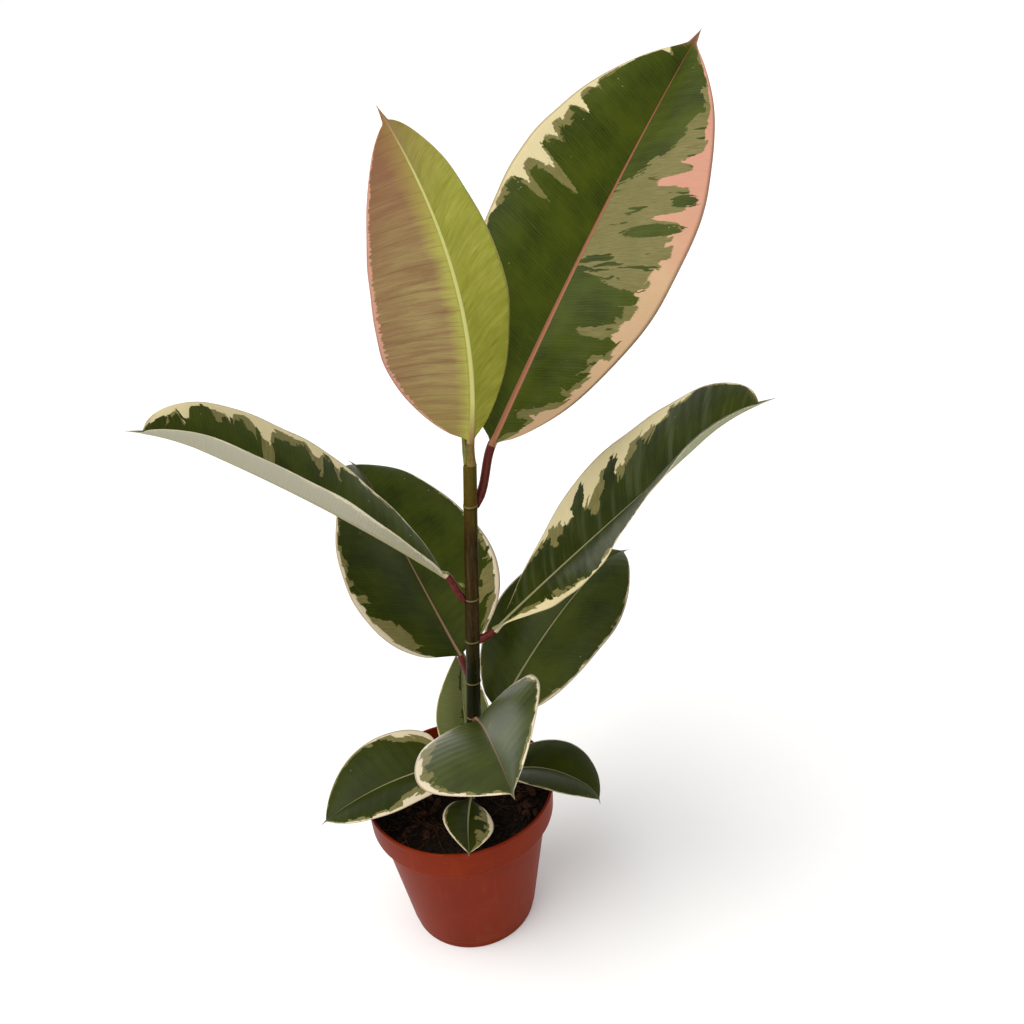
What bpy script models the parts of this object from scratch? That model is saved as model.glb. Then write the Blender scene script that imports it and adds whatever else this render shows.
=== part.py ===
"""Variegated rubber plant (Ficus elastica) growing in a 12 cm plastic nursery pot.

Metres, +Z up. The origin is the centre of the pot's flat underside, and +X is the side
that the stem leans to. Lengths in the tables below are millimetres and angles are degrees.
"""

import math

import bmesh
import bpy
from mathutils import Matrix, Vector

MM = 0.001
GAP = 0.3 * MM  # clearance between touching pieces

# Pot
RIM_RADIUS = 60 * MM
POT_HEIGHT = 105 * MM
BAND_HEIGHT = 20 * MM
SHOULDER_RADIUS = 54.5 * MM
BASE_RADIUS = 41 * MM
WALL = 1.6 * MM
FLOOR_THICKNESS = 2.2 * MM
RIM_DRAFT = 1.2 * MM  # how much narrower the rim band is at its lower edge
TURNING_STEPS = 48
DRAIN_HOLES = 8
DRAIN_RADIUS = 4 * MM
DRAIN_RING_RADIUS = 27 * MM

# Potting mix
MIX_EDGE_HEIGHT = 92 * MM
MIX_CROWN_HEIGHT = 95 * MM

# Stem
STEM_BOTTOM = 45 * MM  # the cutting's buried end
STEM_TOP = 327.5 * MM
STEM_FOOT_X = 13.5 * MM  # where the stem's axis is at the height STEM_FOOT_Z
STEM_FOOT_Z = 150 * MM
STEM_LEAN = 0.0815  # sideways travel for each unit of height
STEM_FOOT_RADIUS = 4.7 * MM
STEM_TOP_RADIUS = 3.7 * MM
SCAR_HEIGHTS = [108, 120, 140, 158, 184, 214, 243, 303]  # rings left by fallen bud sheaths
SCAR_SWELL = 0.45 * MM

# Leaves
BLADE_THICKNESS = 1.0 * MM
FRAME_STEPS = 96  # steps that a midrib is integrated in
STATION_STRIDE = 4  # a blade has one cross-section for each of this many steps
PETIOLE_SECTIONS = 5
SECTION_POINTS = 8
DRIP_TIP_HALF_WIDTH = 2.0 * MM

# Every leaf: where it leaves the stem (height, heading), its petiole (length, pitch) and its
# blade. A heading is measured round +Z from +X, a pitch is up from level. droop, sweep, twist
# and hook are how far the blade bends down, bends sideways, turns about its midrib and nods at
# the tip, all along its length. roll turns the whole blade about its midrib, and fold is how
# far each half rises from flat, at the base and at the tip. belly is where the blade is widest.
LEAVES = {
    "leaf_top_left": dict(
        height=327.5, heading=305, petiole=14, petiole_pitch=85, length=180, width=87, pitch=75,
        droop=-18, sweep=-29, roll=-8, twist=12, fold=(21, 28), belly=0.4, base_shape=1.1,
        tip_shape=0.66),
    "leaf_top_right": dict(
        height=303, heading=30, petiole=34, petiole_pitch=66, length=263, width=113, pitch=53,
        droop=15, sweep=-2, roll=42, twist=-15, fold=(7, 22), belly=0.52, base_shape=0.72,
        tip_shape=0.9),
    "leaf_mid_left": dict(
        height=243, heading=181, petiole=20, petiole_pitch=64, length=188, width=80, pitch=44,
        droop=8, sweep=8, hook=18, roll=7, fold=(27, 33), belly=0.58, tip_shape=0.5),
    "leaf_mid_right": dict(
        height=214, heading=-7, petiole=11, petiole_pitch=34, length=214, width=100, pitch=45,
        droop=-8, sweep=-18, hook=24, roll=22, twist=-39, fold=(8, 21), belly=0.57,
        base_shape=1.1, tip_shape=0.52),
    "leaf_back_left": dict(
        height=184, heading=116, petiole=14, petiole_pitch=53, length=151, width=110, pitch=37,
        droop=-7, hook=33, roll=-4, twist=33, fold=(11, 15), belly=0.45, base_shape=0.71,
        tip_shape=0.61),
    "leaf_lower_right": dict(
        height=140, heading=33, petiole=17, petiole_pitch=26, length=145, width=90, pitch=47,
        droop=33, hook=30, roll=6, twist=-8, fold=(10, 3), belly=0.53, base_shape=0.54,
        tip_shape=0.88),
    "leaf_back_small": dict(
        height=106, heading=97, petiole=8, petiole_pitch=50, length=82, width=37, pitch=76,
        droop=2, sweep=-8, hook=6, roll=-14, fold=(13, 25), belly=0.39, tip_shape=1.0),
    "leaf_front": dict(
        height=158, heading=276, petiole=8, petiole_pitch=40, length=115, width=90, pitch=33,
        droop=26, sweep=-13, roll=20, twist=15, fold=(23, 19), belly=0.59, base_shape=0.57,
        tip_shape=1.0),
    "leaf_low_left": dict(
        height=120, heading=188, petiole=12, petiole_pitch=20, length=86, width=68, pitch=4,
        droop=27, sweep=12, hook=4, roll=-5, twist=4, fold=(19, 12), belly=0.43,
        base_shape=0.46, tip_shape=0.79),
    "leaf_low_right": dict(
        height=116, heading=338, petiole=14, petiole_pitch=-3, length=72, width=53, pitch=31,
        droop=66, sweep=-9, hook=41, roll=-10, twist=-3, fold=(19, 2), base_shape=0.48,
        tip_shape=0.96),
    "leaf_small_front": dict(
        height=102.5, heading=257, petiole=14, petiole_pitch=20, length=47, width=32, pitch=8,
        droop=6, sweep=16, hook=20, roll=-17, twist=-4, fold=(2, 9), base_shape=0.68,
        tip_shape=0.92),
    "leaf_small_under": dict(
        height=120, heading=262, petiole=5, petiole_pitch=10, length=17, width=20, pitch=-8,
        droop=30, fold=(10, 10), belly=0.45),
}

BODY_SHAPE = 0.6  # how full a blade's outline is: 0.5 is an ellipse, more is more pointed
TIP_SHAPE = 0.75
DRIP_TIP_SHARE = 0.07  # the part of the length that is the narrow tip

COLOURS = {  # base colour, roughness
    "pot_plastic": ((0.46, 0.11, 0.04, 1), 0.42),
    "potting_mix": ((0.025, 0.017, 0.012, 1), 0.95),
    "stem_bark": ((0.09, 0.075, 0.03, 1), 0.55),
    "bud_sheath": ((0.30, 0.33, 0.09, 1), 0.45),
    "leaf_green": ((0.035, 0.085, 0.03, 1), 0.35),
}


def clear_scene():
    for existing in list(bpy.data.objects):
        bpy.data.objects.remove(existing, do_unlink=True)


def make_collection(name):
    collection = bpy.data.collections.new(name)
    bpy.context.scene.collection.children.link(collection)
    return collection


def principled(name):
    colour, roughness = COLOURS[name]
    material = bpy.data.materials.new(name)
    material.use_nodes = True
    shader = material.node_tree.nodes["Principled BSDF"]
    shader.inputs["Base Color"].default_value = colour
    shader.inputs["Roughness"].default_value = roughness
    shader.inputs["Metallic"].default_value = 0
    material.diffuse_color = colour
    return material


def add_object(name, data, collection, material=None):
    thing = bpy.data.objects.new(name, data)
    collection.objects.link(thing)
    if material:
        data.materials.append(material)
    return thing


def smooth(mesh, angle=40):
    mesh.shade_smooth()
    mesh.set_sharp_from_angle(angle=math.radians(angle))


def turned(name, profile, collection, material):
    """A solid of revolution. The profile starts and ends on the axis, and runs down its outer side."""
    mesh = bpy.data.meshes.new(name)
    edges = [(i, i + 1) for i in range(len(profile) - 1)]
    mesh.from_pydata([(radius, 0, height) for radius, height in profile], edges, [])
    thing = add_object(name, mesh, collection, material)
    screw = thing.modifiers.new("Turn", "SCREW")
    screw.steps = screw.render_steps = TURNING_STEPS
    screw.use_merge_vertices = True
    screw.merge_threshold = 0.01 * MM
    screw.use_smooth_shade = True
    return thing


def cut(thing, cutter):
    boolean = thing.modifiers.new("Cut " + cutter.name, "BOOLEAN")
    boolean.operation = "DIFFERENCE"
    boolean.solver = "EXACT"
    boolean.object = cutter


def cylinder_cutter(name, radius, start, end, collection, sides=16):
    axis = end - start
    mesh = bpy.data.meshes.new(name)
    shape = bmesh.new()
    bmesh.ops.create_cone(
        shape, cap_ends=True, segments=sides, radius1=radius, radius2=radius, depth=axis.length)
    shape.to_mesh(mesh)
    shape.free()
    cutter = add_object(name, mesh, collection)
    turn = axis.to_track_quat("Z", "Y").to_matrix().to_4x4()
    cutter.matrix_world = Matrix.Translation((start + end) / 2) @ turn
    cutter.hide_render = True
    cutter.display_type = "WIRE"
    return cutter


def wall_radius(height):
    """The radius of the pot body's outer face, between its foot and the rim band."""
    share = height / (POT_HEIGHT - BAND_HEIGHT)
    return BASE_RADIUS + (SHOULDER_RADIUS - BASE_RADIUS) * share


def build_pot(parts, cutters):
    edge = 0.8 * MM  # how much each edge is rounded
    band_bottom = POT_HEIGHT - BAND_HEIGHT
    inner_foot = wall_radius(FLOOR_THICKNESS) - WALL
    inner_shoulder = SHOULDER_RADIUS - WALL
    profile = [
        (0, FLOOR_THICKNESS),
        (inner_foot - edge, FLOOR_THICKNESS),
        (inner_foot, FLOOR_THICKNESS + edge),
        (inner_shoulder, band_bottom + edge),
        (RIM_RADIUS - RIM_DRAFT - WALL, band_bottom + WALL + edge),
        (RIM_RADIUS - WALL, POT_HEIGHT - edge),
        (RIM_RADIUS - WALL / 2, POT_HEIGHT),
        (RIM_RADIUS, POT_HEIGHT - edge),
        (RIM_RADIUS - RIM_DRAFT, band_bottom + edge),
        (RIM_RADIUS - RIM_DRAFT - edge, band_bottom),
        (SHOULDER_RADIUS, band_bottom - edge / 2),
        (SHOULDER_RADIUS - edge / 2, band_bottom - 3 * edge),
        (wall_radius(2 * edge), 2 * edge),
        (BASE_RADIUS - edge, 0),
        (0, 0),
    ]
    pot = turned("pot", profile, parts, principled("pot_plastic"))
    for number in range(DRAIN_HOLES):
        angle = 2 * math.pi * number / DRAIN_HOLES
        x, y = DRAIN_RING_RADIUS * math.cos(angle), DRAIN_RING_RADIUS * math.sin(angle)
        below, above = Vector((x, y, -2 * MM)), Vector((x, y, FLOOR_THICKNESS + 2 * MM))
        cut(pot, cylinder_cutter(f"drain_cutter_{number + 1}", DRAIN_RADIUS, below, above, cutters, sides=12))


def stem_axis(height):
    return Vector((STEM_FOOT_X + STEM_LEAN * (height - STEM_FOOT_Z), 0, height))


def stem_radius(height):
    share = (height - MIX_CROWN_HEIGHT) / (STEM_TOP - MIX_CROWN_HEIGHT)
    return STEM_FOOT_RADIUS + (STEM_TOP_RADIUS - STEM_FOOT_RADIUS) * max(0, min(1, share))


def build_potting_mix(parts, cutters):
    band_bottom = POT_HEIGHT - BAND_HEIGHT
    bottom = FLOOR_THICKNESS + GAP
    clearance = WALL + 1.3 * GAP
    profile = [
        (0, MIX_CROWN_HEIGHT),
        (STEM_FOOT_X * 2, MIX_CROWN_HEIGHT - 0.5 * MM),
        (RIM_RADIUS * 0.75, (MIX_CROWN_HEIGHT + MIX_EDGE_HEIGHT) / 2),
        (RIM_RADIUS - RIM_DRAFT - clearance, MIX_EDGE_HEIGHT),
        (RIM_RADIUS - RIM_DRAFT - clearance, band_bottom + 3 * MM),
        (SHOULDER_RADIUS - clearance, band_bottom + 1.4 * MM),
        (wall_radius(bottom) - clearance, bottom + 1.5 * MM),
        (wall_radius(bottom) - clearance - 1.5 * MM, bottom),
        (0, bottom),
    ]
    mix = turned("potting_mix", profile, parts, principled("potting_mix"))
    low, high = stem_axis(STEM_BOTTOM - GAP), stem_axis(MIX_CROWN_HEIGHT + 5 * MM)
    cut(mix, cylinder_cutter("stem_cutter", STEM_FOOT_RADIUS + GAP, low, high, cutters, sides=16))


def tapered_tube(name, points, radii, collection, material):
    """A round bar through the points, with its own radius at each."""
    curve = bpy.data.curves.new(name, "CURVE")
    curve.dimensions = "3D"
    curve.bevel_depth = 1
    curve.bevel_resolution = 3
    curve.use_fill_caps = True
    spline = curve.splines.new("POLY")
    spline.points.add(len(points) - 1)
    for control, point, radius in zip(spline.points, points, radii):
        control.co = (*point, 1)
        control.radius = radius
    return add_object(name, curve, collection, material)


def build_stem(parts):
    """A straight leaning stem, with a low ring at each height where a bud sheath has fallen."""
    ring = 1.2 * MM
    heights = [STEM_BOTTOM, MIX_CROWN_HEIGHT]
    swells = [0, 0]
    for scar in SCAR_HEIGHTS:
        heights += [scar * MM - ring, scar * MM, scar * MM + ring]
        swells += [0, SCAR_SWELL, 0]
    heights.append(STEM_TOP)
    swells.append(0)
    points = [stem_axis(height) for height in heights]
    radii = [stem_radius(height) + swell for height, swell in zip(heights, swells)]
    tapered_tube("stem", points, radii, parts, principled("stem_bark"))


def build_buds(parts):
    """The sheath round the growing tip, beside the top leaf's petiole, and one side bud."""
    material = principled("bud_sheath")
    foot = stem_axis(STEM_TOP) + Vector((-1.9 * MM, 1.2 * MM, 2 * GAP))
    shape = [(0, 1.5), (8, 1.6), (18, 1.4), (26, 0.9), (31, 0.3)]  # height, radius
    points = [foot + Vector((0.04 * height * MM, 0.06 * height * MM, height * MM)) for height, _ in shape]
    tapered_tube("terminal_bud", points, [radius * MM for _, radius in shape], parts, material)
    height = 251 * MM
    foot = stem_axis(height) - Vector((stem_radius(height) + GAP + 0.1 * MM, 0, 0))
    shape = [(0, 0.9), (1.2, 1.1), (2.6, 0.8), (3.8, 0.25)]  # distance out, radius
    points = [foot + Vector((-out * MM, 0, 0.9 * out * MM)) for out, _ in shape]
    tapered_tube("side_bud", points, [radius * MM for _, radius in shape], parts, material)


def blade_frames(base, leaf):
    """(point, along, left, up) at each step of a blade's midrib."""
    heading, pitch = math.radians(leaf["heading"]), math.radians(leaf["pitch"])
    along = Vector((math.cos(pitch) * math.cos(heading), math.cos(pitch) * math.sin(heading), math.sin(pitch)))
    left = Vector((-math.sin(heading), math.cos(heading), 0))
    left.rotate(Matrix.Rotation(math.radians(leaf.get("roll", 0)), 3, along))
    point = base.copy()
    frames = [(point.copy(), along.copy(), left.copy(), along.cross(left))]
    for step in range(FRAME_STEPS):
        droop = leaf.get("droop", 0) / FRAME_STEPS
        if step >= 0.8 * FRAME_STEPS:
            droop += leaf.get("hook", 0) / (0.2 * FRAME_STEPS)
        along.rotate(Matrix.Rotation(math.radians(droop), 3, left))
        up = along.cross(left)
        sweep = Matrix.Rotation(math.radians(leaf.get("sweep", 0) / FRAME_STEPS), 3, up)
        along.rotate(sweep)
        left.rotate(sweep)
        left.rotate(Matrix.Rotation(math.radians(leaf.get("twist", 0) / FRAME_STEPS), 3, along))
        point += along * leaf["length"] * MM / FRAME_STEPS
        frames.append((point.copy(), along.copy(), left.copy(), along.cross(left)))
    return frames


def half_width(share, leaf):
    """Half the blade's width at this share of its length: a long oval that ends in a drip tip."""
    reach = min(1, share / (1 - 0.6 * DRIP_TIP_SHARE))
    reach **= math.log(0.5) / math.log(leaf.get("belly", 0.5))
    shape = leaf.get("base_shape", BODY_SHAPE) if reach < 0.5 else leaf.get("tip_shape", TIP_SHAPE)
    body = max(0, 4 * reach * (1 - reach)) ** shape * leaf["width"] / 2 * MM
    if share < 0.6:
        return body
    drip = DRIP_TIP_HALF_WIDTH * min(1, (1 - share) / DRIP_TIP_SHARE) ** 0.6
    return max(body, drip)


def petiole_frames(start, outward, leaving, end, end_along, end_left):
    """(point, along, left, up) from the stem to the blade, on one smooth curve.

    The first section lies flat against what the petiole grows from, and faces outward.
    """
    reach = (end - start).length
    level = Vector((-leaving.y, leaving.x, 0)) if outward.z < 0.9 else end_left
    frames = []
    for number in range(PETIOLE_SECTIONS):
        t = number / PETIOLE_SECTIONS
        pull_out, pull_in = leaving * reach, end_along * reach
        point = (
            start * (2 * t**3 - 3 * t**2 + 1) + pull_out * (t**3 - 2 * t**2 + t)
            + end * (3 * t**2 - 2 * t**3) + pull_in * (t**3 - t**2))
        along = (
            start * (6 * t**2 - 6 * t) + pull_out * (3 * t**2 - 4 * t + 1)
            + end * (6 * t - 6 * t**2) + pull_in * (3 * t**2 - 2 * t)).normalized()
        along = along if number else outward
        left = level.lerp(end_left, t)
        left = (left - along * left.dot(along)).normalized()
        frames.append((point, along, left, along.cross(left)))
    return frames


def build_leaf(name, leaf, parts, material):
    """One leaf, petiole and blade together, as a loft of eight-point sections."""
    heading, climb = math.radians(leaf["heading"]), math.radians(leaf["petiole_pitch"])
    height = leaf["height"] * MM
    outward = Vector((math.cos(heading), math.sin(heading), 0))
    petiole_radius = (1.2 + 0.004 * leaf["length"]) * MM
    vertical = Vector((0, 0, 1))
    reach = outward * math.cos(climb) + vertical * math.sin(climb)
    if height < STEM_TOP:
        start = stem_axis(height) + outward * (stem_radius(height) + SCAR_SWELL + 1.2 * GAP)
        facing = outward
    else:
        start = stem_axis(STEM_TOP) + outward * 1.6 * MM + vertical * 2 * GAP
        facing = vertical
    leaving = facing.lerp(reach, 0.6).normalized()
    base = start + reach * leaf["petiole"] * MM
    blade = blade_frames(base, leaf)
    sections = []
    for point, along, left, up in petiole_frames(start, facing, leaving, base, blade[0][1], blade[0][2]):
        sections.append([
            point + (left * math.cos(turn) + up * math.sin(turn)) * petiole_radius
            for turn in (2 * math.pi * corner / SECTION_POINTS for corner in range(SECTION_POINTS))])
    fold_base, fold_tip = leaf["fold"]
    for step in range(STATION_STRIDE // 2, FRAME_STEPS + 1, STATION_STRIDE // 2):
        if step % STATION_STRIDE and step > STATION_STRIDE:
            continue
        share = step / FRAME_STEPS
        point, along, left, up = blade[step]
        fold = math.radians(fold_base + (fold_tip - fold_base) * share)
        width = max(half_width(share, leaf), 0.3 * MM)
        thin = BLADE_THICKNESS / 2 * min(1, width / (2 * MM))
        keel = thin + petiole_radius * (1 - share)
        outer_left = left * math.cos(fold) + up * math.sin(fold)
        outer_right = -left * math.cos(fold) + up * math.sin(fold)
        sections.append([
            point + outer_left * width,
            point + outer_left * width / 2 + up * thin,
            point + up * thin,
            point + outer_right * width / 2 + up * thin,
            point + outer_right * width,
            point + outer_right * width / 2 - up * thin,
            point - up * keel,
            point + outer_left * width / 2 - up * thin,
        ])
    mesh = bpy.data.meshes.new(name)
    shape = bmesh.new()
    rings = [[shape.verts.new(corner) for corner in section] for section in sections]
    for ring, following in zip(rings, rings[1:]):
        for corner in range(SECTION_POINTS):
            after = (corner + 1) % SECTION_POINTS
            shape.faces.new((ring[corner], ring[after], following[after], following[corner]))
    shape.faces.new(rings[0])
    shape.faces.new(reversed(rings[-1]))
    bmesh.ops.recalc_face_normals(shape, faces=shape.faces)
    shape.to_mesh(mesh)
    shape.free()
    smooth(mesh)
    add_object(name, mesh, parts, material)


def main():
    clear_scene()
    parts = make_collection("potted_rubber_plant")
    cutters = make_collection("cutters")
    build_pot(parts, cutters)
    build_potting_mix(parts, cutters)
    build_stem(parts)
    build_buds(parts)
    material = principled("leaf_green")
    for name, leaf in LEAVES.items():
        build_leaf(name, leaf, parts, material)


main()
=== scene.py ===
"""The looks of a variegated rubber plant in a plastic nursery pot, built round its CAD model.

Every piece is modelled in metres in the CAD's own frame: the origin is the centre of the pot's
underside and +Z is up. Lengths in the tables are millimetres and angles are degrees.
"""

import math
import random

import bmesh
import bpy
import numpy as np
from mathutils import Matrix, Vector, noise


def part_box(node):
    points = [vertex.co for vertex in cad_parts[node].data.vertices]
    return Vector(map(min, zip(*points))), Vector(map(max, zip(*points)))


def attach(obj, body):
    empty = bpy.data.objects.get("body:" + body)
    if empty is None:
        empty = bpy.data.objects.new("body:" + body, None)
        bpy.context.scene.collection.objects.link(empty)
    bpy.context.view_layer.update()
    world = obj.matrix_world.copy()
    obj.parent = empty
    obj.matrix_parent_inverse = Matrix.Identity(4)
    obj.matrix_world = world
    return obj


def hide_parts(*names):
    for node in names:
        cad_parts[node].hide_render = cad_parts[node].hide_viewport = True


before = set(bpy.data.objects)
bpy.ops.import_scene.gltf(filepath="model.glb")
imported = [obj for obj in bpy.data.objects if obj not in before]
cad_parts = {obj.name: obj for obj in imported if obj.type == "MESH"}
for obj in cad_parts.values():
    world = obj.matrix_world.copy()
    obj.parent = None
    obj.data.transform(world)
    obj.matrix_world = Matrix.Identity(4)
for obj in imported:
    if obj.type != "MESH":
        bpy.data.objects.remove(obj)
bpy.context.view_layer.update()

MM = 0.001
SEED = 7

# The stem and the leaves repeat the CAD's own design values, so each fine piece lies where its
# plain solid does. check_against_cad tests that for the leaves.
STEM_TOP = 327.5 * MM
STEM_FOOT_X = 13.5 * MM
STEM_FOOT_Z = 150 * MM
STEM_LEAN = 0.0815
STEM_FOOT_RADIUS = 4.7 * MM
STEM_TOP_RADIUS = 3.7 * MM
MIX_CROWN_HEIGHT = 95 * MM
SCAR_HEIGHTS = [108, 120, 140, 158, 184, 214, 243, 303]
SCAR_SWELL = 0.45 * MM
GAP = 0.3 * MM
FRAME_STEPS = 96  # along each blade
HOOK_FROM = 0.8  # of the blade's length, as the next five are
BODY_TO = 0.958  # where the oval ends, while the drip tip goes on
DRIP_TIP_FROM = 0.6  # where the drip tip starts to count
DRIP_TIP_REACH = 0.10
DRIP_TIP_WIDTH = 0.020
DRIP_TIP_MERGE = 0.014  # how gently the two merge

# height is where a leaf leaves the stem, heading its way out from +X, and petiole its stalk's
# length. The blade starts at pitch and droops by droop, and by hook more at its end. It turns
# sideways by sweep, and about its own length by roll at the base and twist more by the tip. fold
# is how far each half lifts at base and tip, belly where it is widest, and the shapes how tapered
# the ends are.
PLAIN_LEAF = dict(
    droop=0, hook=0, sweep=0, roll=0, twist=0, belly=0.5, base_shape=0.6, tip_shape=0.75)
LEAVES = {
    "leaf_top_left": dict(
        height=327.5, heading=305, petiole=14, petiole_pitch=85, length=180, width=87, pitch=75,
        droop=-18, sweep=-29, roll=-8, twist=12, fold=(21, 28), belly=0.4, base_shape=1.1,
        tip_shape=0.66),
    "leaf_top_right": dict(
        height=303, heading=30, petiole=34, petiole_pitch=66, length=263, width=113, pitch=53,
        droop=15, sweep=-2, roll=42, twist=-15, fold=(7, 22), belly=0.52, base_shape=0.72,
        tip_shape=0.9),
    "leaf_mid_left": dict(
        height=243, heading=181, petiole=20, petiole_pitch=64, length=188, width=80, pitch=44,
        droop=8, sweep=8, hook=18, roll=7, fold=(27, 33), belly=0.58, tip_shape=0.5),
    "leaf_mid_right": dict(
        height=214, heading=-7, petiole=11, petiole_pitch=34, length=214, width=100, pitch=45,
        droop=-8, sweep=-18, hook=24, roll=22, twist=-39, fold=(8, 21), belly=0.57,
        base_shape=1.1, tip_shape=0.52),
    "leaf_back_left": dict(
        height=184, heading=116, petiole=14, petiole_pitch=53, length=151, width=110, pitch=37,
        droop=-7, hook=33, roll=-4, twist=33, fold=(11, 15), belly=0.45, base_shape=0.71,
        tip_shape=0.61),
    "leaf_lower_right": dict(
        height=140, heading=33, petiole=17, petiole_pitch=26, length=145, width=90, pitch=47,
        droop=33, hook=30, roll=6, twist=-8, fold=(10, 3), belly=0.53, base_shape=0.54,
        tip_shape=0.88),
    "leaf_back_small": dict(
        height=106, heading=97, petiole=8, petiole_pitch=50, length=82, width=37, pitch=76,
        droop=2, sweep=-8, hook=6, roll=-14, fold=(13, 25), belly=0.39, tip_shape=1.0),
    "leaf_front": dict(
        height=158, heading=276, petiole=8, petiole_pitch=40, length=115, width=90, pitch=33,
        droop=26, sweep=-13, roll=20, twist=15, fold=(23, 19), belly=0.59, base_shape=0.57,
        tip_shape=1.0),
    "leaf_low_left": dict(
        height=120, heading=188, petiole=12, petiole_pitch=20, length=86, width=68, pitch=4,
        droop=27, sweep=12, hook=4, roll=-5, twist=4, fold=(19, 12), belly=0.43,
        base_shape=0.46, tip_shape=0.79),
    "leaf_low_right": dict(
        height=116, heading=338, petiole=14, petiole_pitch=-3, length=72, width=53, pitch=31,
        droop=66, sweep=-9, hook=41, roll=-10, twist=-3, fold=(19, 2), base_shape=0.48,
        tip_shape=0.96),
    "leaf_small_front": dict(
        height=102.5, heading=257, petiole=14, petiole_pitch=20, length=47, width=32, pitch=8,
        droop=6, sweep=16, hook=20, roll=-17, twist=-4, fold=(2, 9), base_shape=0.68,
        tip_shape=0.92),
    "leaf_small_under": dict(
        height=120, heading=262, petiole=5, petiole_pitch=10, length=17, width=20, pitch=-8,
        droop=30, fold=(10, 10), belly=0.45),
}

YOUNGEST = "leaf_top_left"

# Colours, linear
CREAM = (0.64, 0.55, 0.31)
PEACH = (0.54, 0.355, 0.205)
PINK = (0.54, 0.25, 0.175)
DEEP_GREEN = (0.016, 0.024, 0.0012)
LEAF_GREEN = (0.038, 0.051, 0.0020)
GREY_GREENS = ((0.125, 0.117, 0.032), (0.235, 0.200, 0.078))
RIB_RED = (0.36, 0.15, 0.075)
RIB_GREEN = (0.27, 0.25, 0.12)
RIB_BROWN = (0.25, 0.15, 0.085)
PETIOLE_RED = (0.078, 0.0095, 0.0055)
PETIOLE_OLIVE = (0.13, 0.085, 0.018)

# How each leaf is coloured. green and grey are the shares of the half-width that the dark green
# and then the grey-green reach, at even steps from base to tip, on the leaf's left and right
# halves as seen from above with the tip ahead. The steps follow the side veins, and what lies
# beyond them is the margin: the left half's colour, and the right half's at its base and tip.
# tongues are pale stripes along a side vein: side (1 is left), share of the length, how far out
# the green and the grey-green end there, and half the stripe's width. islands are dark patches:
# side, share of the length, share of the half-width, and half their size in each. patches adds
# random ones. middle is the grey-green's range and under the underside's. tone is how light the
# dark green is, set per leaf: its own green with painted light and shade in it too. gloss is its
# specular level, sway how ragged the zones are, and painted_sheen how much painted sheen shows:
# pale streaks along the side veins for light on soft folds. rib_width is the midrib's width.
CREAMY = (CREAM, CREAM, CREAM)
PALE_EDGE = ((0.66, 0.565, 0.40),) * 3
PLAIN_LOOK = dict(
    margin=PALE_EDGE, rib=RIB_GREEN, petiole=PETIOLE_RED, tip=(0.15, 0.12, 0.06),
    middle=GREY_GREENS, under=((0.19, 0.205, 0.095), (0.25, 0.26, 0.135)), tongues=(), islands=(),
    patches=True, tone=1.0, gloss=0.09, sway=1.0, painted_sheen=0.0, rib_width=1.0)
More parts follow.
